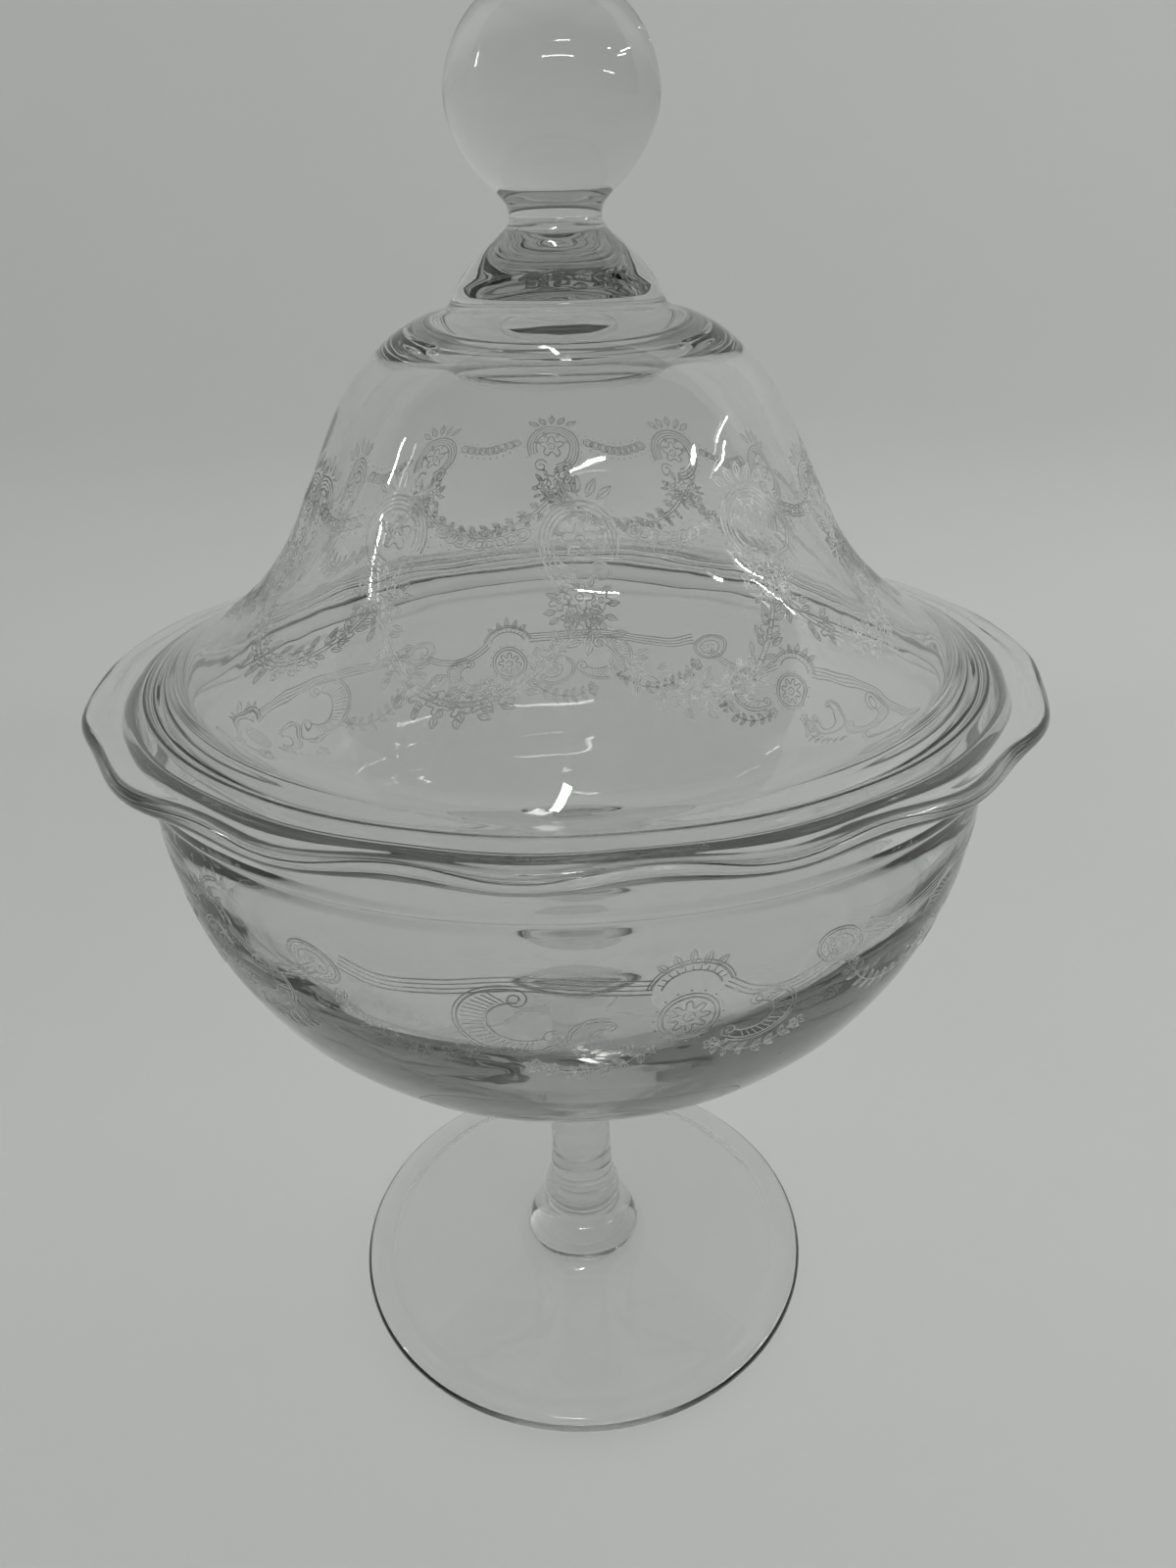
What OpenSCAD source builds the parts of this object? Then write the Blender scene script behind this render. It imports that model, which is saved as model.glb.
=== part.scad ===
// Footed candy dish with a lift-off bell lid, clear glass.
// Millimetres, +Z up, origin at the centre of the plane the foot rests on.

/* [Foot] */
// Radius of the foot
foot_r = 47; // [42:0.5:52]
// Height of the foot at its rolled edge
foot_edge_h = 3.2; // [2.6:0.1:4]
// Height of the foot where the stem meets it
foot_crown_h = 5.4; // [5:0.1:6.4]
// Rise of the hollow underside at the centre
foot_hollow = 1.3; // [0.6:0.1:2.2]
// Inner radius of the flat ring that touches the table
foot_rest_r = 42; // [36:0.5:43]

/* [Stem] */
// Radius of the round button at the bottom of the stem
button_r = 11.2; // [9:0.1:13]
// Top of the button
button_top = 12.6; // [11:0.1:14]
// Radius of the small knop above the button
knop_r = 7.9; // [7.4:0.1:10]
// Top of the knop
knop_top = 20; // [18:0.5:22]
// Radius of the stem
stem_r = 6.2; // [5:0.1:7]
// Height where the stem ends and the collar under the bowl starts
stem_top = 47; // [40:0.5:50]
// Radius of the collar where it meets the bowl
collar_r = 12.5; // [9:0.5:16]

/* [Bowl] */
// Outer radius of the bowl below its rim
bowl_r = 69; // [66:0.5:70]
// Height of the bowl's rim above the table
bowl_top = 133.4; // [128:0.1:140]
// Depth of the bowl outside, from the rim to the bottom
bowl_h = 73; // [70:0.5:76]
// How full the bowl's side is, 2 is an ellipse
bowl_full = 2.75; // [2.3:0.05:3.2]
// Thickness of the bowl's wall
bowl_wall = 3; // [2.4:0.1:3.4]
// Thickness of the bowl's bottom
bowl_floor = 9.6; // [4:0.1:11]
// How far the rim band stands out of the bowl's side
band_out = 1.5; // [0.8:0.1:2]
// Height of the rim band
band_h = 8; // [4:0.5:12]

/* [Lid] */
// Height of the bell from the bowl's rim to its flat crown
bell_h = 55.4; // [50:0.2:60]
// Thickness of the bell's wall
bell_wall = 3; // [2.4:0.1:3.6]
// Radius where the bell ends and the crimped brim starts
bell_foot_r = 66; // [65.8:0.1:66.4]
// Gap between the bowl's rim and the lid's seat
seat_gap = 0.2; // [0.1:0.05:0.3]
// Mean radius of the crimped brim
brim_r = 76; // [75:0.5:78]
// Depth of the solid boss under the crown, below the finial
boss_h = 11.2; // [9:0.1:12]
// Number of crimps round the brim
crimps = 16; // [8:1:24]
// How far each crimp moves the edge in and out
crimp_in = 0.4; // [0:0.05:1]
// How far each crimp moves the edge up and down
crimp_up = 0.27; // [0:0.01:0.8]
// Turn of the crimps round the axis, degrees
crimp_turn = 4.4; // [0:0.1:22]
// Outer radius of the ring that drops inside the bowl
ring_r = 65.4; // [64:0.1:65.6]
// Thickness of the ring
ring_wall = 3; // [2.4:0.1:3.4]
// Depth of the ring below the lid's seat
ring_h = 4.2; // [3:0.1:8]

/* [Finial] */
// Radius of the finial's skirt on the crown of the bell
skirt_r = 16.2; // [14:0.1:16.6]
// Height of the skirt
skirt_h = 10.2; // [8:0.1:12]
// Radius of the finial's neck
neck_r = 6.7; // [6:0.05:9]
// Height of the neck
neck_h = 3.8; // [3:0.1:6]
// Radius of the finial's ball
ball_r = 15; // [12:0.5:17]
// Height of the ball's widest part above its join with the neck
ball_drop = 12; // [10.5:0.1:13]

/* [Hidden] */
$fn = 96;

glass = [0.86, 0.90, 0.90, 0.45];
glass_thick = [0.74, 0.79, 0.79, 0.55];

seat_z = bowl_top + seat_gap;
crown_z = bowl_top + bell_h + seat_gap;
skirt_z = crown_z + skirt_h;
neck_z = skirt_z + neck_h;
ball_z = neck_z + ball_drop;
bowl_bottom = bowl_top - bowl_h * pow(1 - pow(collar_r / bowl_r, 2), 1 / bowl_full);

// Smooth curve through control points, n steps to a span.
function at(P, i) = i < 0 ? 2 * P[0] - P[1]
    : i >= len(P) ? 2 * P[len(P) - 1] - P[len(P) - 2] : P[i];
function span(a, b, c, d, t) = 0.5 * (2 * b + (c - a) * t
    + (2 * a - 5 * b + 4 * c - d) * t * t + (3 * b - a - 3 * c + d) * t * t * t);
function smooth(P, n) = concat([for (i = [0 : len(P) - 2], k = [0 : n - 1])
    span(at(P, i - 1), P[i], P[i + 1], at(P, i + 2), k / n)], [P[len(P) - 1]]);

// The same curve moved t to the right of its direction of travel.
function unit(v) = v / norm(v);
function side(P, i) = let (v = unit(P[min(i + 1, len(P) - 1)] - P[max(i - 1, 0)]))
    [v[1], -v[0]];
function inset(P, t) = [for (i = [0 : len(P) - 1]) P[i] + t * side(P, i)];
function back(P) = [for (i = [len(P) - 1 : -1 : 0]) P[i]];

// Turn a profile of [radius, height] points, closed down the axis.
module turned(P, z0, z1) {
    rotate_extrude() polygon(concat([[0, z0]], P, [[0, z1]]));
}

// Half of the bowl's section: radius r at the rim, h deep, from the bottom up.
function bowl_curve(r, h, a0, n) = [for (k = [0 : n]) let (
    a = a0 + (90 - a0) * k / n,
    t = pow(cos(a), 2 / bowl_full)) [r * sin(a), bowl_top - h * t]];

module foot() {
    color(glass) turned([
        [12, foot_hollow], [foot_rest_r - 6, foot_hollow * 0.55],
        [foot_rest_r - 1, foot_hollow * 0.12],
        [foot_rest_r, 0], [foot_r - 1.8, 0],
        [foot_r - 0.75, 0.3], [foot_r - 0.2, 0.85],
        [foot_r, foot_edge_h * 0.5], [foot_r - 0.2, foot_edge_h - 0.85],
        [foot_r - 0.75, foot_edge_h - 0.3], [foot_r - 1.8, foot_edge_h],
        [foot_r - 4, foot_edge_h - 0.15],
        [34, foot_edge_h + 0.1], [24, foot_edge_h + 0.4], [17, foot_edge_h + 0.9],
        [13.2, foot_crown_h - 0.7], [button_r + 0.4, foot_crown_h]],
        foot_hollow, foot_crown_h);
}

module stem_button() {
    h = button_top - foot_crown_h;
    color(glass_thick) turned(smooth([
        [button_r + 0.2, foot_crown_h], [button_r, foot_crown_h + h * 0.22],
        [button_r - 0.7, foot_crown_h + h * 0.5],
        [button_r - 2.2, foot_crown_h + h * 0.8],
        [knop_r - 0.7, button_top]], 5), foot_crown_h, button_top);
}

module stem_knop() {
    h = knop_top - button_top;
    color(glass_thick) turned(smooth([
        [knop_r - 0.7, button_top], [knop_r - 0.1, button_top + h * 0.22],
        [knop_r, button_top + h * 0.38], [knop_r - 0.6, button_top + h * 0.65],
        [stem_r + 0.35, knop_top]], 5), button_top, knop_top);
}

module stem() {
    h = stem_top - knop_top;
    color(glass_thick) turned(smooth([
        [stem_r + 0.35, knop_top], [stem_r, knop_top + h * 0.2],
        [stem_r - 0.1, knop_top + h * 0.5], [stem_r, knop_top + h * 0.8],
        [stem_r + 0.6, stem_top]], 5), knop_top, stem_top);
}

module bowl_collar() {
    h = bowl_bottom - stem_top;
    color(glass_thick) turned(smooth([
        [stem_r + 0.6, stem_top], [stem_r + 1.5, stem_top + h * 0.35],
        [stem_r + 3.2, stem_top + h * 0.7], [collar_r, bowl_bottom]], 5),
        stem_top, bowl_bottom);
}

module bowl() {
    a0 = asin(collar_r / bowl_r);
    b = bowl_r + band_out;
    i = bowl_r - bowl_wall;
    outside = [for (p = bowl_curve(bowl_r, bowl_h, a0, 30)) if (p[1] < bowl_top - band_h - 1.3) p];
    inside = [for (p = bowl_curve(i, bowl_h - bowl_floor, 1, 30))
        if (p[1] < bowl_top - band_h - 2) p];
    rim = smooth([
        [bowl_r, bowl_top - band_h - 0.7], [bowl_r + 0.2, bowl_top - band_h - 0.1],
        [b - 0.75, bowl_top - band_h + 0.35], [b - 0.4, bowl_top - band_h + 1.1],
        [b - 0.15, bowl_top - 5.1], [b, bowl_top - 3.2], [b - 0.25, bowl_top - 1.9],
        [b - 0.7, bowl_top - 1], [b - 1.25, bowl_top - 0.35], [b - 1.7, bowl_top],
        [i + 2.3, bowl_top - 0.35], [i + 1.95, bowl_top - 1.1], [i + 1.7, bowl_top - 2.6],
        [i + 1.2, bowl_top - 5.4], [i + 0.55, bowl_top - 8]], 3);
    color(glass) turned(concat(outside, rim, back(inside)),
        bowl_bottom, bowl_top - bowl_h + bowl_floor);
}

// Bell section from the crown down to the brim, as [radius, height] stations.
bell_out = smooth([for (s = [
        [0.227, 1], [0.288, 0.99], [0.379, 0.934], [0.477, 0.82], [0.548, 0.675],
        [0.606, 0.53], [0.667, 0.4], [0.752, 0.275], [0.864, 0.17], [1, 0.08]])
    [bell_foot_r * s[0], seat_z + bell_h * s[1]]], 5);

// Height of the joint between the bell, the brim and the ring.
root_z = seat_z + 0.7;
ring_in = ring_r - ring_wall;

module lid_bell() {
    inner = [for (p = inset(bell_out, bell_wall)) if (p[0] > 26.4 && p[0] < 59.2) p];
    base = crown_z - boss_h;
    boss = smooth([[4, base], [10, base + 0.2], [13.4, base + 0.7], [14.9, base + 1.7],
        [15.8, base + 3], [16.9, base + 4.1], [18.6, base + 4.8], [20.8, base + 5],
        [23.2, base + 4.5], [25.2, base + 3.4]], 2);
    color(glass) turned(concat(boss, inner,
        [[60.2, seat_z + 4], [61.3, seat_z + 3.1], [ring_in - 0.2, seat_z + 1.6],
         [ring_in, root_z], [bell_foot_r, root_z]], back(bell_out)),
        crown_z - boss_h, crown_z);
}

// Brim: one closed mesh ring whose outer edge is crimped up and down.
brim_steps = crimps * 10;
brim_in = bell_foot_r + 0.03;
brim_sec = let (z0 = seat_z, z1 = bell_out[len(bell_out) - 1][1], e = brim_r) [
    [brim_in, z1, 0], [68, z1 - 0.75, 0.1], [70.5, z1 - 1.45, 0.35],
    [73, z1 - 1.85, 0.7], [e - 1.3, z1 - 1.95, 0.95], [e - 0.4, z1 - 2.4, 1],
    [e, z1 - 3.3, 1], [e - 0.25, z1 - 4.2, 1], [e - 1, z1 - 4.85, 1],
    [e - 2.2, z1 - 4.95, 0.9], [72.6, z0 - 0.35, 0.5], [71.2, z0, 0.2],
    [70, z0 + 0.1, 0], [68, z0 + 0.5, 0], [66.9, z0 + 0.8, 0], [brim_in, root_z, 0]];
function brim_pt(s, a) = let (w = cos(crimps * (a + crimp_turn)),
    r = s[0] + s[2] * crimp_in * w, z = s[1] - s[2] * crimp_up * w)
    [r * sin(a), -r * cos(a), z];

module lid_brim() {
    n = len(brim_sec);
    color(glass) polyhedron(
        points = [for (i = [0 : brim_steps - 1], s = brim_sec)
            brim_pt(s, -360 * i / brim_steps)],
        faces = [for (i = [0 : brim_steps - 1], k = [0 : n - 1], h = [0, 1]) let (
            j = (i + 1) % brim_steps, l = (k + 1) % n)
            h == 0 ? [i * n + k, j * n + l, j * n + k] : [i * n + k, i * n + l, j * n + l]]);
}

module locating_ring() {
    color(glass) rotate_extrude() polygon(concat([[ring_in, root_z]], smooth([
        [ring_in + 0.1, seat_z - ring_h * 0.1], [ring_in + 0.3, seat_z - ring_h * 0.62],
        [ring_in + 0.7, seat_z - ring_h * 0.9], [ring_in + ring_wall * 0.47, seat_z - ring_h],
        [ring_r - 0.9, seat_z - ring_h * 0.93], [ring_r - 0.35, seat_z - ring_h * 0.71],
        [ring_r - 0.05, seat_z - ring_h * 0.29], [ring_r + 0.2, seat_z]], 3),
        [[bell_foot_r, root_z]]));
}

module finial_skirt() {
    color(glass_thick) turned(smooth([
        [skirt_r, crown_z], [skirt_r - 0.7, crown_z + skirt_h * 0.15],
        [skirt_r - 1.7, crown_z + skirt_h * 0.32], [skirt_r - 3.1, crown_z + skirt_h * 0.5],
        [skirt_r - 4.6, crown_z + skirt_h * 0.66], [skirt_r - 6.2, crown_z + skirt_h * 0.8],
        [neck_r + 1.9, crown_z + skirt_h * 0.91],
        [neck_r + 0.7, skirt_z]], 4), crown_z, skirt_z);
}

module finial_neck() {
    color(glass) turned(smooth([
        [neck_r + 0.7, skirt_z], [neck_r + 0.15, skirt_z + neck_h * 0.21],
        [neck_r, skirt_z + neck_h * 0.47], [neck_r + 0.25, skirt_z + neck_h * 0.79],
        [neck_r + 0.85, neck_z]], 4), skirt_z, neck_z);
}

module finial_ball() {
    low = smooth([
        [neck_r + 0.85, neck_z], [ball_r - 4.8, neck_z + ball_drop * 0.2],
        [ball_r - 2.5, neck_z + ball_drop * 0.44],
        [ball_r - 0.75, neck_z + ball_drop * 0.72], [ball_r, ball_z]], 5);
    top = [for (k = [1 : 17]) [ball_r * cos(k * 5), ball_z + ball_r * sin(k * 5)]];
    color(glass) turned(concat(low, top), neck_z, ball_z + ball_r);
}

foot();
stem_button();
stem_knop();
stem();
bowl_collar();
bowl();
lid_bell();
lid_brim();
locating_ring();
finial_skirt();
finial_neck();
finial_ball();
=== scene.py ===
import math
import random

import bmesh
import bpy
import numpy as np
from mathutils import Matrix, Vector

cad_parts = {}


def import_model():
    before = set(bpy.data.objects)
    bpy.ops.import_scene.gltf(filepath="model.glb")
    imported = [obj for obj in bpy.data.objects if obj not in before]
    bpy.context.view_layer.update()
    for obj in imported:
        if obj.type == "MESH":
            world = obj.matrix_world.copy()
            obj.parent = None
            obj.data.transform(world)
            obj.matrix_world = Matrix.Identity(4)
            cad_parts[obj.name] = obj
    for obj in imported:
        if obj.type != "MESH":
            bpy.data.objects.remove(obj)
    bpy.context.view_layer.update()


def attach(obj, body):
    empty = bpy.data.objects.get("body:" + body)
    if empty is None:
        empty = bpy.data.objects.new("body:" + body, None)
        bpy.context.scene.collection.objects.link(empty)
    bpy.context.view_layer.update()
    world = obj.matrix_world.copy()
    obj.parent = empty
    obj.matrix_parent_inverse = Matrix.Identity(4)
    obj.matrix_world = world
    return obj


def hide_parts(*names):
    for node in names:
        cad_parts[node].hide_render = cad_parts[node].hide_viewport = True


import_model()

MM = 0.001
SC = bpy.context.scene
COL = SC.collection


# ------------------------------------------------------------------ camera
def make_camera():
    th, roll, yaw = math.radians(25.53), math.radians(1.18), math.radians(-0.97)
    right = Vector((math.cos(yaw), math.sin(yaw), 0))
    ahead = Vector((-math.sin(yaw), math.cos(yaw), 0))
    up = Vector((0, 0, 1))
    fwd = ahead * math.cos(th) - up * math.sin(th)
    top = ahead * math.sin(th) + up * math.cos(th)
    cx = right * math.cos(roll) - top * math.sin(roll)
    cy = right * math.sin(roll) + top * math.cos(roll)
    m = Matrix((cx, cy, -fwd)).transposed().to_4x4()
    m.translation = Vector((0, -0.177, 0.1949))
    data = bpy.data.cameras.new("camera")
    data.sensor_width = 36
    data.lens = 25.16
    data.clip_start = 0.005
    data.dof.use_dof = False
    cam = bpy.data.objects.new("camera", data)
    COL.objects.link(cam)
    cam.matrix_world = m
    SC.camera = cam
    return cam


make_camera()


# ------------------------------------------------------------------ profiles, in millimetres
def spline(points, step=0.8, closed_ends=True):
    """Centripetal curve through the points, resampled about every step millimetres."""
    p = [np.array(q, float) for q in points]
    p = [2 * p[0] - p[1]] + p + [2 * p[-1] - p[-2]]
    out = []
    for i in range(1, len(p) - 2):
        a, b, c, d = p[i - 1 : i + 3]
        t = [0.0]
        for u, v in ((a, b), (b, c), (c, d)):
            t.append(t[-1] + max(np.linalg.norm((v - u)[:2]), 1e-6) ** 0.5)
        n = max(2, int(math.ceil(np.linalg.norm((c - b)[:2]) / step)))
        for k in range(n):
            s = t[1] + (t[2] - t[1]) * k / n
            l1 = (t[1] - s) / (t[1] - t[0]) * a + (s - t[0]) / (t[1] - t[0]) * b
            l2 = (t[2] - s) / (t[2] - t[1]) * b + (s - t[1]) / (t[2] - t[1]) * c
            l3 = (t[3] - s) / (t[3] - t[2]) * c + (s - t[2]) / (t[3] - t[2]) * d
            m1 = (t[2] - s) / (t[2] - t[0]) * l1 + (s - t[0]) / (t[2] - t[0]) * l2
            m2 = (t[3] - s) / (t[3] - t[1]) * l2 + (s - t[1]) / (t[3] - t[1]) * l3
            out.append((t[2] - s) / (t[2] - t[1]) * m1 + (s - t[1]) / (t[2] - t[1]) * m2)
    out.append(p[-2])
    return out


BOWL_R, BOWL_TOP, BOWL_H, FULL = 69.0, 133.4, 73.0, 2.75


def bowl_curve(r, h, a0, n):
    out = []
    for k in range(n + 1):
        a = math.radians(a0 + (90 - a0) * k / n)
        out.append((r * math.sin(a), BOWL_TOP - h * max(math.cos(a), 0) ** (2 / FULL)))
    return out


SEAT = 133.6
CROWN = 189.0
BELL = [(66 * s, SEAT + 55.4 * h) for s, h in (
    (0.227, 1), (0.288, 0.99), (0.379, 0.934), (0.477, 0.82), (0.548, 0.675),
    (0.606, 0.53), (0.667, 0.4), (0.752, 0.275), (0.864, 0.17), (1, 0.08))]
BOWL_OUT = [p for p in bowl_curve(BOWL_R, BOWL_H, 16, 14) if p[1] < BOWL_TOP - 9.4]
FLOOR_Z = 70.0
BOWL_IN = [p for p in bowl_curve(BOWL_R - 3, BOWL_TOP - FLOOR_Z, 6, 16) if p[1] < BOWL_TOP - 10]


def dish_profile():
    pts = [(0, 1.3), (12, 1.28), (24, 1.2), (32, 1.08), (38, 0.92), (40.4, 0.78), (41.6, 0.42), (42.4, 0.12),
           (43.2, 0.05), (44.9, 0.05), (46.0, 0.32), (46.7, 0.9), (46.95, 1.65), (46.75, 2.35), (46.2, 2.85),
           (45.1, 3.14), (43.7, 3.02), (42.2, 2.93), (39, 3.08), (34, 3.26), (24, 3.6), (17.5, 4.1), (13.6, 4.75),
           (12.0, 5.6), (11.35, 6.9), (10.6, 9.0), (9.2, 11.1), (7.75, 12.6), (7.62, 13.7),
           (7.9, 15.2), (7.55, 17.2), (6.75, 19.8), (6.25, 25.4), (6.1, 33.5), (6.2, 41.6),
           (6.8, 47), (7.8, 51.6), (9.6, 56.2), (12.4, 59.8), (15.5, 61.7)]
    pts += BOWL_OUT
    pts += [(69.0, 124.7), (69.2, 125.3), (69.75, 125.75), (70.1, 126.5), (70.35, 128.3), (70.45, 130.2),
            (70.2, 131.5), (69.75, 132.4), (69.2, 133.05), (68.75, 133.35), (68.3, 133.05), (67.95, 132.3),
            (67.7, 130.8), (67.2, 128.0), (66.55, 125.4)]
    pts += BOWL_IN[::-1]
    pts += [(3.2, FLOOR_Z + 0.02), (0, FLOOR_Z)]
    return [(float(q[0]), max(0.04, float(q[1])), 0.0) for q in spline(pts)]


def lid_profile():
    pts = [(15 * math.sin(math.radians(k)), 215 + 15 * math.cos(math.radians(k)), 0) for k in range(0, 91, 9)]
    pts += [(14.25, 211.64, 0), (12.5, 208.3, 0), (10.2, 205.4, 0), (8.0, 203.45, 0), (6.95, 202.2, 0),
            (6.7, 201.0, 0), (6.85, 200.0, 0), (7.4, 199.2, 0), (8.6, 198.3, 0), (10.0, 197.2, 0),
            (11.6, 195.7, 0), (13.1, 194.1, 0), (14.5, 192.3, 0), (15.5, 190.5, 0), (16.2, 189.3, 0),
            (17.2, 188.85, 0)]
    pts += [(r, z, 0) for r, z in BELL[1:]]
    z1 = BELL[-1][1]
    e = 76.0
    pts += [(68, z1 - 0.75, 0.1), (70.5, z1 - 1.45, 0.35), (73, z1 - 1.85, 0.7),
            (e - 1.3, z1 - 1.95, 0.95), (e - 0.4, z1 - 2.4, 1), (e, z1 - 3.3, 1),
            (e - 0.25, z1 - 4.2, 1), (e - 1, z1 - 4.85, 1), (e - 2.2, z1 - 4.95, 0.9),
            (72.6, SEAT - 0.35, 0.5), (71.2, SEAT - 0.02, 0.2), (70, SEAT + 0.12, 0), (68, SEAT + 0.55, 0),
            (66.9, SEAT + 0.85, 0), (66.1, SEAT + 0.7, 0), (65.6, SEAT + 0.1, 0), (65.35, SEAT - 1.2, 0),
            (65.05, SEAT - 3.0, 0), (64.5, SEAT - 3.9, 0), (63.8, SEAT - 4.2, 0), (63.1, SEAT - 3.8, 0),
            (62.7, SEAT - 2.6, 0), (62.5, SEAT - 0.4, 0), (62.2, 135.2, 0), (61.3, 136.7, 0), (60.2, 137.6, 0)]
    curve = spline([(r, z, 0) for r, z in BELL], 0.5)
    inner = []
    for i in range(1, len(curve) - 1):
        t = curve[i + 1] - curve[i - 1]
        t = t / np.linalg.norm(t)
        # right of travel when running down and out is into the glass
        q = (curve[i][0] - 3.0 * -t[1], curve[i][1] - 3.0 * t[0], 0)
        if 26.4 < q[0] < 59.2:
            inner.append(q)
    pts += inner[::-1][::5]
    pts += [(25.2, 181.2, 0), (23.2, 182.3, 0), (20.8, 182.8, 0), (18.6, 182.6, 0), (16.9, 181.9, 0),
            (15.8, 180.8, 0), (14.9, 179.5, 0), (13.4, 178.5, 0), (10, 178.0, 0), (4, 177.8, 0), (0, 177.8, 0)]
    return [tuple(float(v) for v in q) for q in spline(pts)]


CRIMPS, PHASE, CRIMP_IN, CRIMP_UP = 16, -4.4, 0.4, 0.27


def turned(name, profile, n, wob):
    """One closed mesh turned round Z. Each profile point is (radius, height, crimp weight)."""
    prof = profile[1:-1]
    m = len(prof)
    verts = np.zeros((n * m + 2, 3))
    rr = np.array([q[0] for q in prof])
    zz = np.array([q[1] for q in prof])
    ww = np.array([max(0.0, q[2]) for q in prof])
    for i in range(n):
        a = 2 * math.pi * i / n
        w = math.cos(CRIMPS * (a - math.radians(PHASE)))
        dr, dz = wob(rr, zz, a, ww)
        r = rr + ww * CRIMP_IN * w + dr
        z = zz - ww * CRIMP_UP * w + dz
        verts[i * m : (i + 1) * m] = np.stack([r * math.sin(a), -r * math.cos(a), z], 1)
    verts[n * m] = (0, 0, profile[0][1])
    verts[n * m + 1] = (0, 0, profile[-1][1])
    faces = []
    for i in range(n):
        j = (i + 1) % n
        for k in range(m - 1):
            faces.append((i * m + k, i * m + k + 1, j * m + k + 1, j * m + k))
        faces.append((n * m, i * m, j * m))
        faces.append((n * m + 1, j * m + m - 1, i * m + m - 1))
    me = bpy.data.meshes.new(name)
    me.from_pydata([tuple(v * MM) for v in verts], [], faces)
    me.validate()
    me.update()
    ob = bpy.data.objects.new(name, me)
    COL.objects.link(ob)
    for p in me.polygons:
        p.use_smooth = True
    # outward normals
    bm = bmesh.new()
    bm.from_mesh(me)
    bmesh.ops.recalc_face_normals(bm, faces=bm.faces)
    if bm.calc_volume(signed=True) < 0:
        bmesh.ops.reverse_faces(bm, faces=bm.faces)
    bm.to_mesh(me)
    bm.free()
    return ob


def hand_made(seed, upright):
    """Slow unevenness of pressed and fire-polished glass, a few hundredths of a millimetre."""
    q = random.Random(seed)
    terms = [(q.randint(2, 9), q.uniform(8, 30), q.uniform(0, 6.3), q.uniform(0, 6.3), q.uniform(0.4, 1)) for _ in range(9)]

    def wob(r, z, a, w):
        n = len(r)
        skin = np.where(np.arange(n) < n * upright, 0.0, 2.4)
        d = np.zeros(n)
        for m, length, p1, p2, k in terms:
            d += k * np.sin(m * a + p1 + skin) * np.sin(z / length * 2 * math.pi + p2 + skin * 1.7)
        reach = np.clip((r - 14) / 20, 0, 1) * np.clip((z - 6) / 6, 0, 1)
        near_seat = np.clip(np.abs(z - 132.5) / 6, 0, 1)
        return d * 0.028 * reach * near_seat, 0.0

    return wob


# ------------------------------------------------------------------ materials
def new_mat(name):
    m = bpy.data.materials.new(name)
    m.use_nodes = True
    nt = m.node_tree
    for n in list(nt.nodes):
        nt.nodes.remove(n)
    out = nt.nodes.new("ShaderNodeOutputMaterial")
    bsdf = nt.nodes.new("ShaderNodeBsdfPrincipled")
    nt.links.new(bsdf.outputs[0], out.inputs[0])
    return m, nt, bsdf, out


def node(nt, kind, **kw):
    n = nt.nodes.new(kind)
    for k, v in kw.items():
        if hasattr(n, k):
            setattr(n, k, v)
        else:
            n.inputs[k].default_value = v
    return n


def glass_material(name, tint, density):
    m, nt, b, out = new_mat(name)
    b.inputs["Transmission Weight"].default_value = 1.0
    b.inputs["IOR"].default_value = 1.5
    b.inputs["Roughness"].default_value = 0.0
    b.inputs["Base Color"].default_value = tint + (1,)
    v = nt.nodes.new("ShaderNodeVolumeAbsorption")
    v.inputs["Color"].default_value = (0.235, 0.265, 0.228, 1)
    v.inputs["Density"].default_value = density
    nt.links.new(v.outputs[0], out.inputs["Volume"])
    # faint ripples of the mould and a little handling haze
    tc = nt.nodes.new("ShaderNodeTexCoord")
    ripple = node(nt, "ShaderNodeTexNoise", Scale=70.0, Detail=2.0)
    bump = nt.nodes.new("ShaderNodeBump")
    bump.inputs["Strength"].default_value = 0.10
    bump.inputs["Distance"].default_value = 0.0006
    nt.links.new(tc.outputs["Object"], ripple.inputs["Vector"])
    nt.links.new(ripple.outputs["Fac"], bump.inputs["Height"])
    nt.links.new(bump.outputs["Normal"], b.inputs["Normal"])
    haze = node(nt, "ShaderNodeTexNoise", Scale=28.0, Detail=4.0)
    nt.links.new(tc.outputs["Object"], haze.inputs["Vector"])
    mr = nt.nodes.new("ShaderNodeMapRange")
    for k, q in (("From Min", 0.52), ("From Max", 0.75), ("To Min", 0.0), ("To Max", 0.035)):
        mr.inputs[k].default_value = q
    nt.links.new(haze.outputs["Fac"], mr.inputs["Value"])
    nt.links.new(mr.outputs["Result"], b.inputs["Roughness"])
    return m


# ------------------------------------------------------------------ the glass
dish = turned("dish_glass", dish_profile(), 200, hand_made(5, 0.52))
lid = turned("lid_glass", lid_profile(), 240, hand_made(9, 0.5))
DISH_GLASS = glass_material("clear_pressed_glass", (0.900, 0.903, 0.893), 9.0)
LID_GLASS = glass_material("clear_lid_glass", (0.952, 0.955, 0.948), 6.5)
for ob, body, slot, glass, nodes in (
    (dish, "dish", "clear_glass", DISH_GLASS, ["foot", "stem_button", "stem_knop", "stem", "bowl_collar", "bowl"]),
    (lid, "lid", "lid_glass", LID_GLASS, ["lid_bell", "lid_brim", "locating_ring", "finial_skirt", "finial_neck", "finial_ball"])):
    ob.data.materials.append(glass)
    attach(ob, body)
    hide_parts(*nodes)


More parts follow.
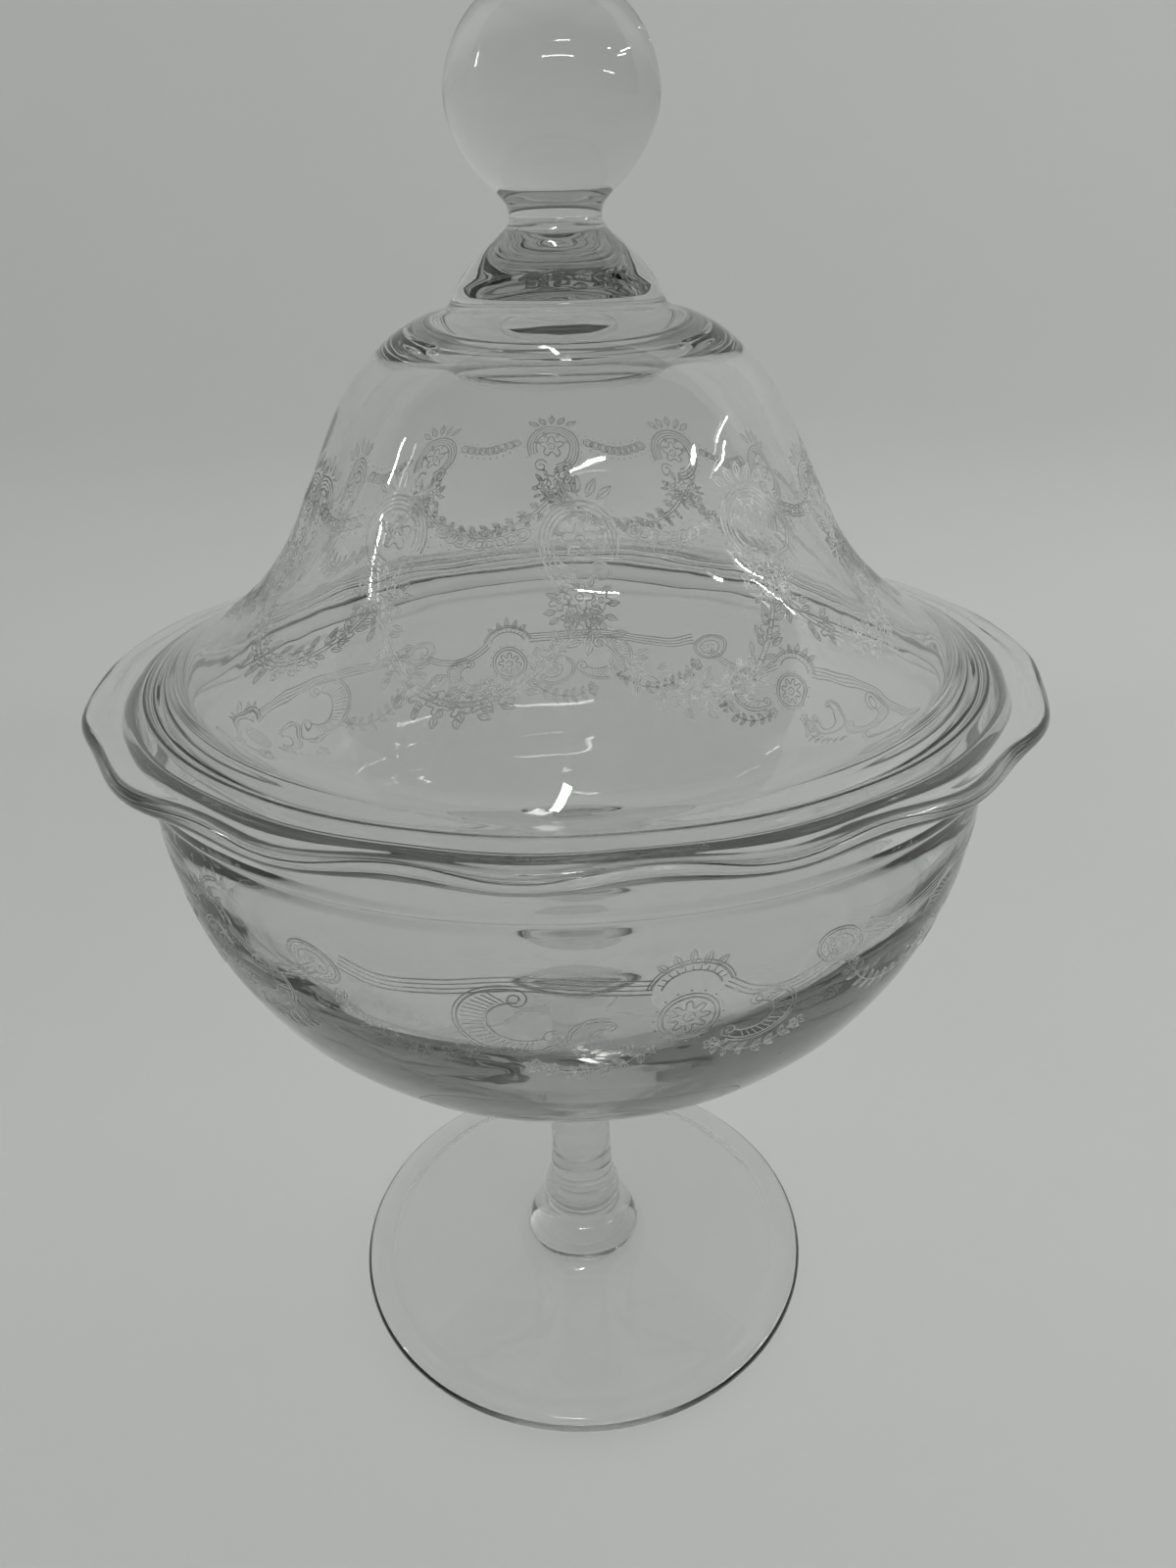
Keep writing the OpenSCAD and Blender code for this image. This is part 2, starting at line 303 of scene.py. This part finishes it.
# ------------------------------------------------------------------ etched bands
def frost_material(name):
    m, nt, b, out = new_mat(name)
    tc = nt.nodes.new("ShaderNodeTexCoord")
    n1 = node(nt, "ShaderNodeTexNoise", Scale=900.0, Detail=2.0)
    ramp = nt.nodes.new("ShaderNodeValToRGB")
    ramp.color_ramp.elements[0].position = 0.3
    ramp.color_ramp.elements[0].color = (0.60, 0.615, 0.60, 1)
    ramp.color_ramp.elements[1].position = 0.7
    ramp.color_ramp.elements[1].color = (0.86, 0.875, 0.86, 1)
    rough = nt.nodes.new("ShaderNodeMapRange")
    rough.inputs["To Min"].default_value = 0.24
    rough.inputs["To Max"].default_value = 0.52
    nt.links.new(tc.outputs["Object"], n1.inputs["Vector"])
    nt.links.new(n1.outputs["Fac"], ramp.inputs["Fac"])
    nt.links.new(ramp.outputs["Color"], b.inputs["Base Color"])
    nt.links.new(n1.outputs["Fac"], rough.inputs["Value"])
    nt.links.new(rough.outputs["Result"], b.inputs["Roughness"])
    b.inputs["Transmission Weight"].default_value = 0.8
    b.inputs["IOR"].default_value = 1.45
    return m


class Surface:
    """The outside of a turned piece, measured along its section from a starting height."""

    def __init__(self, curve):
        self.p = np.array(curve, float)
        d = np.hypot(*np.diff(self.p, axis=0).T)
        self.s = np.concatenate([[0], np.cumsum(d)])
        t = np.gradient(self.p, axis=0)
        t /= np.hypot(t[:, 0], t[:, 1])[:, None]
        self.n = np.stack([t[:, 1], -t[:, 0]], 1)
        if self.n[len(self.n) // 2, 0] < 0:
            self.n = -self.n

    def start(self, z):
        return float(np.interp(z, self.p[:, 1], self.s))

    def place(self, az, s, lift):
        """Points at azimuth az (radians), length s along the section, lifted off the glass."""
        r, z = np.interp(s, self.s, self.p[:, 0]), np.interp(s, self.s, self.p[:, 1])
        nr, nz = np.interp(s, self.s, self.n[:, 0]), np.interp(s, self.s, self.n[:, 1])
        k = np.hypot(nr, nz)
        r, z = r + nr / k * lift, z + nz / k * lift
        return np.stack([r * np.sin(az), -r * np.cos(az), z], 1)

    def radius(self, s):
        return float(np.interp(s, self.s, self.p[:, 0]))


class Etch:
    """Collects fine raised lines and dots drawn on a Surface."""

    def __init__(self, surface):
        self.surf, self.v, self.f, self.n = surface, [], [], 0

    def to_surface(self, pts, az0, z0):
        p = np.array(pts, float)
        s0 = self.surf.start(z0)
        s = s0 + p[:, 1]
        r = np.interp(s, self.surf.s, self.surf.p[:, 0])
        return math.radians(az0) + p[:, 0] / r, s

    def add(self, verts, faces):
        self.v.append(verts)
        self.f += [tuple(i + self.n for i in f) for f in faces]
        self.n += len(verts)

    def line(self, pts, az0, z0, w=0.34, closed=False):
        p = np.array(pts, float)
        if closed:
            p = p[:-1] if np.allclose(p[0], p[-1]) else p
            t = np.roll(p, -1, 0) - np.roll(p, 1, 0)
        else:
            t = np.gradient(p, axis=0)
        t = t / np.maximum(np.hypot(t[:, 0], t[:, 1])[:, None], 1e-9)
        side = np.stack([-t[:, 1], t[:, 0]], 1) * w / 2
        rows = []
        for q, lift in ((p + side, 0.012), (p, 0.075), (p - side, 0.012), (p, 0.006)):
            az, s = self.to_surface(q, az0, z0)
            rows.append(self.surf.place(az, s, lift))
        m = len(p)
        verts = np.stack(rows, 1).reshape(-1, 3)
        faces = []
        for i in range(m if closed else m - 1):
            j = (i + 1) % m
            for k in range(4):
                l = (k + 1) % 4
                faces.append((i * 4 + k, j * 4 + k, j * 4 + l, i * 4 + l))
        if not closed:
            faces.append((0, 1, 2, 3))
            e = (m - 1) * 4
            faces.append((e + 3, e + 2, e + 1, e))
        self.add(verts, faces)

    def dot(self, x, y, az0, z0, r=0.2):
        a = np.linspace(0, 2 * math.pi, 6, endpoint=False)
        ring = np.stack([x + r * np.cos(a), y + r * np.sin(a)], 1)
        az, s = self.to_surface(ring, az0, z0)
        low = self.surf.place(az, s, 0.012)
        az, s = self.to_surface([(x, y)], az0, z0)
        top, bot = self.surf.place(az, s, 0.08), self.surf.place(az, s, 0.004)
        verts = np.concatenate([low, top, bot])
        faces = [(i, (i + 1) % 6, 6) for i in range(6)] + [((i + 1) % 6, i, 7) for i in range(6)]
        self.add(verts, faces)

    def build(self, name):
        v = np.concatenate(self.v) * MM
        me = bpy.data.meshes.new(name)
        me.from_pydata([tuple(q) for q in v], [], self.f)
        me.update()
        bm = bmesh.new()
        bm.from_mesh(me)
        bmesh.ops.recalc_face_normals(bm, faces=bm.faces)
        bm.to_mesh(me)
        bm.free()
        ob = bpy.data.objects.new(name, me)
        COL.objects.link(ob)
        return ob


def arc(cx, cy, r, a0, a1, squash=1.0, r1=None, step=0.55):
    """An arc or, with r1, a spiral; angles in degrees from +x."""
    r1 = r if r1 is None else r1
    n = max(5, int(abs(math.radians(a1 - a0)) * max(r, r1) / step))
    return [(cx + (r + (r1 - r) * k / n) * math.cos(math.radians(a0 + (a1 - a0) * k / n)),
             cy + squash * (r + (r1 - r) * k / n) * math.sin(math.radians(a0 + (a1 - a0) * k / n)))
            for k in range(n + 1)]


def turn(pts, cx, cy, deg, mirror=False):
    c, s = math.cos(math.radians(deg)), math.sin(math.radians(deg))
    out = []
    for x, y in pts:
        if mirror:
            x = -x
        out.append((cx + c * x - s * y, cy + s * x + c * y))
    return out


def curve2(ctrl, step=0.5):
    return [(q[0], q[1]) for q in spline(ctrl, step)]


def side_by_side(pts, d):
    p = np.array(pts, float)
    t = np.gradient(p, axis=0)
    t /= np.maximum(np.hypot(t[:, 0], t[:, 1])[:, None], 1e-9)
    return [tuple(q) for q in p + d * np.stack([-t[:, 1], t[:, 0]], 1)]


def leaf(E, x, y, deg, size, az0, z0, w=0.26):
    L = size
    up = curve2([(0, 0), (0.3 * L, 0.2 * L), (0.62 * L, 0.2 * L), (L, 0)], 0.55)
    dn = curve2([(L, 0), (0.62 * L, -0.2 * L), (0.3 * L, -0.2 * L), (0, 0)], 0.55)
    E.line(turn(up + dn[1:-1], x, y, deg), az0, z0, w, closed=True)
    E.line(turn([(0.12 * L, 0), (0.45 * L, 0.02 * L), (0.82 * L, 0)], x, y, deg), az0, z0, w * 0.8)


def flower(E, x, y, r, az0, z0, petals=5, turn0=0, w=0.26):
    out = []
    for k in range(petals):
        a = turn0 + 360 * k / petals
        for d, q in ((-26, 0.62), (-15, 0.93), (0, 1.04), (15, 0.93), (26, 0.62)):
            b = math.radians(a + d * 5 / petals)
            out.append((x + r * q * math.cos(b), y + r * q * math.sin(b)))
    E.line(curve2(out + [out[0]], 0.35), az0, z0, w, closed=True)
    E.line(arc(x, y, 0.3 * r, 0, 330, step=0.3), az0, z0, w * 0.8)
    E.dot(x, y, az0, z0, 0.13)


def scroll(E, x, y, deg, size, az0, z0, mirror=False, hatch=True, w=0.3):
    """A C-shaped scroll: a double outline that curls in at both ends, hatched across."""
    S = size
    back = arc(0, 0, S, 100, 330, 0.8)
    inner = arc(0.16 * S, 0.05 * S, 0.62 * S, 105, 325, 0.78)
    E.line(turn(back, x, y, deg, mirror), az0, z0, w)
    E.line(turn(side_by_side(back, -0.55), x, y, deg, mirror), az0, z0, w * 0.8)
    E.line(turn(inner, x, y, deg, mirror), az0, z0, w)
    for cx, cy, a0, sg in ((back[0][0] + 0.12 * S, back[0][1] - 0.20 * S, 118, -1),
                           (back[-1][0] - 0.06 * S, back[-1][1] + 0.22 * S, -70, 1)):
        curl = arc(cx, cy, 0.24 * S, a0, a0 + sg * 520, 1.0, 0.05 * S, 0.35)
        E.line(turn(curl, x, y, deg, mirror), az0, z0, w * 0.85)
    if hatch:
        n = int(S * 3.2)
        for k in range(1, n):
            a = math.radians(118 + (312 - 118) * k / n)
            o = (S * 0.93 * math.cos(a), 0.8 * S * 0.93 * math.sin(a))
            i = (0.16 * S + 0.68 * S * math.cos(a), 0.05 * S + 0.68 * 0.78 * S * math.sin(a))
            E.line(turn([o, ((o[0] + i[0]) / 2, (o[1] + i[1]) / 2), i], x, y, deg, mirror), az0, z0, w * 0.55)


def bowl_unit(E, az0, rng):
    """One repeat of the bowl's border, about 60 degrees wide; x runs round the bowl in mm."""
    Z = 109.0
    L = lambda pts, w=0.3, closed=False: E.line(pts, az0, Z, w, closed)
    # rosette in two rings
    flower(E, 0, 0, 2.7, az0, Z, 8, 8 * rng.random(), 0.28)
    L(arc(0, 0, 3.5, 0, 360), 0.32, True)
    L(arc(0, 0, 4.1, 0, 360), 0.26, True)
    for k in range(16):
        a = 2 * math.pi * k / 16
        E.dot(4.65 * math.cos(a), 4.65 * math.sin(a), az0, Z, 0.17)
    # hatched crest above the rosette
    top = arc(0, 4.6, 5.4, 12, 168, 0.82)
    low = arc(0, 4.6, 4.0, 12, 168, 0.82)
    L(top, 0.34)
    L(side_by_side(top, -0.5), 0.24)
    L(low, 0.28)
    for k in range(1, 12):
        a = math.radians(12 + 156 * k / 12)
        L([(4.05 * math.cos(a), 4.6 + 0.82 * 4.05 * math.sin(a)), (4.5 * math.cos(a), 4.6 + 0.82 * 4.5 * math.sin(a)),
           (4.95 * math.cos(a), 4.6 + 0.82 * 4.95 * math.sin(a))], 0.17)
    for k in (-2, -1, 0, 1, 2):
        leaf(E, k * 1.5, 9.0 - abs(k) * 0.5, 90 - 24 * k, 2.2, az0, Z, 0.22)
    # two C scrolls leaning away from the rosette
    scroll(E, -22.5, 0.8, -14, 7.0, az0, Z)
    scroll(E, 9.8, -2.4, 12, 5.2, az0, Z, mirror=True)
    scroll(E, -10.8, -2.6, -20, 4.2, az0, Z, hatch=False)
    # ribbons of parallel lines that sweep up to the roundels
    for pts, nn in ((((-5.0, 5.6), (-12, 6.2), (-22, 7.0), (-32, 5.6), (-40, 5.0), (-45.5, 6.6)), 4),
                    (((5.0, 5.4), (8.5, 3.0), (13, 2.0), (18, 3.2), (21.5, 5.0)), 3)):
        c = curve2(pts, 0.6)
        for k in range(nn):
            L(side_by_side(c, (k - nn / 2) * 0.72), 0.27 if k in (0, nn - 1) else 0.2)
    # oval roundel with stippled centre, shared by two repeats
    ox, oy = -49.6, 5.6
    for r, w in ((4.4, 0.32), (3.8, 0.24), (2.5, 0.26)):
        L(turn(arc(0, 0, r, 0, 360, 0.62), ox, oy, -24), w, True)
    for k in range(26):
        a, q = rng.random() * 2 * math.pi, math.sqrt(rng.random()) * 2.2
        x, y = turn([(q * math.cos(a), 0.62 * q * math.sin(a))], ox, oy, -24)[0]
        E.dot(x, y, az0, Z, 0.13)
    for k in range(18):
        a = 2 * math.pi * k / 18
        x, y = turn([(3.15 * math.cos(a), 0.62 * 3.15 * math.sin(a))], ox, oy, -24)[0]
        E.dot(x, y, az0, Z, 0.15)
    # leafy sprays under the scrolls, with small flowers
    for pts, n in ((((-27, -4.5), (-31.5, -6.5), (-37, -6.0), (-42, -3.4), (-46, 0.6)), 9),
                   (((-5, -5.6), (-9, -8.4), (-14.5, -9.2), (-19.5, -7.8)), 7),
                   (((3.6, -6.2), (7.2, -9.0), (12.0, -9.4), (16.5, -7.0)), 7)):
        c = curve2(pts, 0.5)
        L(c, 0.24)
        for k in range(n):
            i = min(len(c) - 2, int((k + 0.5) / n * len(c)))
            d = math.degrees(math.atan2(c[i + 1][1] - c[i][1], c[i + 1][0] - c[i][0]))
            for sg in (-1, 1):
                leaf(E, c[i][0], c[i][1], d + sg * (48 + 10 * rng.random()), 1.7 + 0.5 * rng.random(), az0, Z, 0.2)
        flower(E, c[-1][0], c[-1][1], 1.35, az0, Z, 5, 72 * rng.random(), 0.22)
        flower(E, c[0][0], c[0][1], 1.1, az0, Z, 5, 72 * rng.random(), 0.22)


def lid_unit(E, az0, rng):
    """One repeat of the lid's border: a cartouche and half a swag on each side."""
    Z = 163.0
    L = lambda pts, w=0.3, closed=False: E.line(pts, az0, Z, w, closed)
    # cartouche of three lines, open at the lower right
    for r, w in ((5.0, 0.34), (4.45, 0.22), (3.9, 0.22), (3.3, 0.3)):
        L(arc(0, 0, r, -22, 262, 1.05), w)
    L(arc(2.6, -3.9, 1.5, 150, -330, 1.0, 0.3, 0.35), 0.26)
    L(arc(-2.5, -4.2, 1.4, 60, 520, 1.0, 0.3, 0.35), 0.26)
    for k in range(24):
        a = math.radians(-22 + 284 * k / 23)
        E.dot(5.65 * math.cos(a), 5.93 * math.sin(a), az0, Z, 0.16)
    flower(E, 0.2, 0.3, 2.2, az0, Z, 5, 18, 0.26)
    for d in (20, 65, 115, 160):
        leaf(E, 0.2 + 2.3 * math.cos(math.radians(d)), 0.3 + 2.3 * math.sin(math.radians(d)), d, 1.3, az0, Z, 0.18)
    # fan of leaves on top
    for k in (-2, -1, 0, 1, 2):
        leaf(E, k * 1.3, 6.1 - 0.35 * abs(k), 90 - 26 * k, 2.4, az0, Z, 0.24)
    # posy under the cartouche
    for x, y, r in ((-0.2, -6.9, 1.7), (2.5, -7.4, 1.25), (-2.8, -7.3, 1.3), (1.0, -9.6, 1.2), (-1.5, -9.7, 1.15)):
        flower(E, x, y, r, az0, Z, 5, 72 * rng.random(), 0.24)
    for k in range(12):
        a = 360 * k / 12 + 12 * rng.random()
        leaf(E, 3.3 * math.cos(math.radians(a)), -8.2 + 2.6 * math.sin(math.radians(a)), a, 1.6, az0, Z, 0.2)
    # chain of loops from this cartouche to the next
    r0 = E.surf.radius(E.surf.start(Z))
    gap = math.radians(36) * r0
    n = 9
    for k in range(n):
        x = 6.6 + (gap - 13.2) * (k + 0.5) / n
        y = 1.4 - 1.7 * math.sin(math.pi * (k + 0.5) / n)
        L(arc(x, y, 1.0, 0, 360, 0.85), 0.26, True)
        L(arc(x, y, 0.5, 0, 360, 0.85, None, 0.3), 0.18, True)
        E.dot(x, y + 1.7, az0, Z, 0.17)
        E.dot(x, y - 1.7, az0, Z, 0.17)
    # swag of flowers and leaves: angles of the repeat, heights from the top of the posy
    zs = 155.0
    s_of = lambda u: 155.4 - 9.4 * (1 - (2 * u - 1) ** 2) ** 0.92
    pts = []
    for k in range(61):
        u = k / 60
        s = E.surf.start(s_of(u)) - E.surf.start(zs)
        pts.append((math.radians(36 * u) * E.surf.radius(E.surf.start(s_of(u))), s))
    E.line(side_by_side(pts, 0.35), az0, zs, 0.22)
    E.line(side_by_side(pts, -0.35), az0, zs, 0.22)
    m = 12
    for k in range(m):
        i = int((k + 0.5) / m * 60)
        d = math.degrees(math.atan2(pts[i + 1][1] - pts[i][1], pts[i + 1][0] - pts[i][0]))
        if k % 2 == 0 or 4 < k < 8:
            flower(E, pts[i][0], pts[i][1], 1.45 + 0.35 * math.sin(math.pi * k / m), az0, zs, 5, 72 * rng.random(), 0.24)
        for sg, q in ((-1, 0.9), (1, 0.9), (-1, 2.0), (1, 2.0)):
            leaf(E, pts[i][0], pts[i][1] + sg * q, d + sg * (40 + 24 * rng.random()) + (180 if k < m / 2 else 0) * 0,
                 1.7 + 0.5 * rng.random(), az0, zs, 0.2)
    for k in range(90):
        i = int(rng.random() * 59)
        y = pts[i][1] + (rng.random() - 0.5) * 5.0
        E.dot(pts[i][0] + rng.random() - 0.5, y, az0, zs, 0.1 + 0.06 * rng.random())


FROST = frost_material("etched_frost_glass")
rng = random.Random(71)
dish_out = [(q[0], q[1]) for q in spline([(p[0], p[1]) for p in BOWL_OUT], 0.4)]
E = Etch(Surface(dish_out))
for k in range(6):
    bowl_unit(E, 12 + 60 * k, rng)
etched_bowl = E.build("etched_band_bowl")
bell = spline([(r, z) for r, z in BELL], 0.4)[::-1]
E = Etch(Surface([(q[0], q[1]) for q in bell]))
for k in range(10):
    lid_unit(E, 2.5 + 36 * k, rng)
etched_lid = E.build("etched_band_lid")
for ob, body in ((etched_bowl, "dish"), (etched_lid, "lid")):
    ob.data.materials.append(FROST)
    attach(ob, body)


# ------------------------------------------------------------------ floor, backdrop and light
def calc(nt, op, a, b=None, c=None):
    """A math node on values or sockets."""
    n = nt.nodes.new("ShaderNodeMath")
    n.operation = op
    for i, v in enumerate((a, b, c)):
        if v is None:
            continue
        if isinstance(v, (int, float)):
            n.inputs[i].default_value = v
        else:
            nt.links.new(v, n.inputs[i])
    return n.outputs[0]


def floor_material():
    """Plain pale matt floor with a very faint mottling."""
    m, nt, b, out = new_mat("pale_floor")
    b.inputs["Roughness"].default_value = 0.85
    tc = nt.nodes.new("ShaderNodeTexCoord")
    n1 = node(nt, "ShaderNodeTexNoise", Scale=7.0, Detail=3.0)
    nt.links.new(tc.outputs["Object"], n1.inputs["Vector"])
    col = nt.nodes.new("ShaderNodeVectorMath")
    col.operation = "SCALE"
    col.inputs[0].default_value = (0.680, 0.692, 0.686)
    nt.links.new(calc(nt, "MULTIPLY_ADD", n1.outputs["Fac"], 0.03, 0.985), col.inputs["Scale"])
    nt.links.new(col.outputs[0], b.inputs["Base Color"])
    return m


def stage_floor():
    xs = np.concatenate([np.linspace(-2.2, -0.7, 16)[:-1], np.linspace(-0.7, 0.7, 141), np.linspace(0.7, 2.2, 16)[1:]])
    prof = [(-2.2, 0.0)] + [(y, 0.0) for y in np.linspace(-1.2, 0.30, 14)]
    rad = 0.12
    for k in range(1, 13):
        a = math.radians(90 * k / 12)
        prof.append((0.30 + rad * math.sin(a), rad - rad * math.cos(a)))
    prof += [(0.42, z) for z in np.linspace(0.16, 1.6, 28)]
    verts, faces = [], []
    for x in xs:
        for y, z in prof:
            verts.append((x, y, z))
    m = len(prof)
    for i in range(len(xs) - 1):
        for k in range(m - 1):
            faces.append((i * m + k, (i + 1) * m + k, (i + 1) * m + k + 1, i * m + k + 1))
    me = bpy.data.meshes.new("floor")
    me.from_pydata(verts, [], faces)
    for p in me.polygons:
        p.use_smooth = True
    ob = bpy.data.objects.new("floor", me)
    COL.objects.link(ob)
    me.materials.append(floor_material())
    return ob


stage_floor()


def world():
    """A pale room at eye level that darkens towards the ceiling."""
    w = bpy.data.worlds.new("room")
    SC.world = w
    w.use_nodes = True
    nt = w.node_tree
    bg = nt.nodes["Background"]
    tc = nt.nodes.new("ShaderNodeTexCoord")
    sep = nt.nodes.new("ShaderNodeSeparateXYZ")
    ramp = nt.nodes.new("ShaderNodeValToRGB")
    mr = nt.nodes.new("ShaderNodeMapRange")
    mr.inputs["From Min"].default_value = -1
    mr.inputs["From Max"].default_value = 1
    nt.links.new(tc.outputs["Generated"], sep.inputs[0])
    nt.links.new(sep.outputs["Z"], mr.inputs["Value"])
    nt.links.new(mr.outputs["Result"], ramp.inputs["Fac"])
    e = ramp.color_ramp.elements
    e[0].position, e[0].color = 0.50, (0.34, 0.345, 0.34, 1)
    e[1].position, e[1].color = 0.85, (0.095, 0.097, 0.086, 1)
    m = e.new(0.62)
    m.color = (0.30, 0.305, 0.295, 1)
    nt.links.new(ramp.outputs["Color"], bg.inputs["Color"])
    bg.inputs["Strength"].default_value = 1.0


world()
glass_free = bpy.data.collections.new("lit_through")
for ob in (dish, lid, etched_bowl, etched_lid):
    glass_free.objects.link(ob)
    SC.collection.objects.link(ob) if ob.name not in SC.collection.objects else None


def lamp(name, az, el, dist, w, h, radiance, tilt=0.0, seen=True, through=True, aim=(0, 0, 0.12), spread=180):
    """A rectangular lamp, az from -Y towards +X and el above the horizon, in degrees."""
    d = bpy.data.lights.new(name, "AREA")
    d.shape = "RECTANGLE"
    d.size, d.size_y = w, h
    d.energy = radiance * math.pi * w * h
    d.spread = math.radians(spread)
    o = bpy.data.objects.new(name, d)
    COL.objects.link(o)
    a, e = math.radians(az), math.radians(el)
    out = Vector((math.sin(a) * math.cos(e), -math.cos(a) * math.cos(e), math.sin(e)))
    o.rotation_mode = "QUATERNION"
    q = out.to_track_quat("Z", "Y")
    o.rotation_quaternion = q @ Matrix.Rotation(math.radians(tilt), 3, "Z").to_quaternion()
    o.location = Vector(aim) + out * dist
    o.visible_camera = False
    o.visible_glossy = seen
    o.visible_transmission = seen
    if through:
        o.light_linking.blocker_collection = glass_free
        for c in glass_free.collection_objects:
            c.light_linking.link_state = "EXCLUDE"
    return o


lamp("soft_main", 60, 60, 2.0, 1.6, 1.6, 1.08, seen=False)
lamp("soft_left", -60, 48, 2.0, 1.2, 1.2, 0.62, seen=False)
lamp("shadow_right", 75, 42, 1.6, 0.5, 0.5, 0.7, seen=False, through=False)
lamp("strip_centre", 14.5, 46.5, 2.2, 0.55, 0.013, 110)
lamp("strip_centre_low", 7, 33.5, 2.2, 1.15, 0.03, 34)
lamp("strip_left", -89, 28, 2.2, 0.035, 0.34, 50, tilt=4)
lamp("strip_left_far", -125, 25, 2.2, 0.03, 0.16, 40)
lamp("strip_right", 94, 31.7, 2.2, 0.55, 0.016, 90)
lamp("strip_right_low", 85, 29.6, 2.2, 0.40, 0.016, 110)
lamp("strip_right_in", 70.6, 35.3, 2.2, 0.12, 0.03, 90)
lamp("strip_right_front", 62, 20, 2.2, 0.50, 0.03, 45, tilt=-15)
lamp("panel_top", -170, 82, 2.2, 0.05, 0.20, 45, tilt=12)
lamp("panel_top_low", -160, 78, 2.2, 0.10, 0.10, 12, tilt=12)

SC.view_settings.view_transform = "Standard"
SC.view_settings.look = "None"
SC.cycles.max_bounces = 48
SC.cycles.transmission_bounces = 48
SC.cycles.transparent_max_bounces = 16
SC.cycles.glossy_bounces = 16
SC.cycles.sample_clamp_indirect = 5
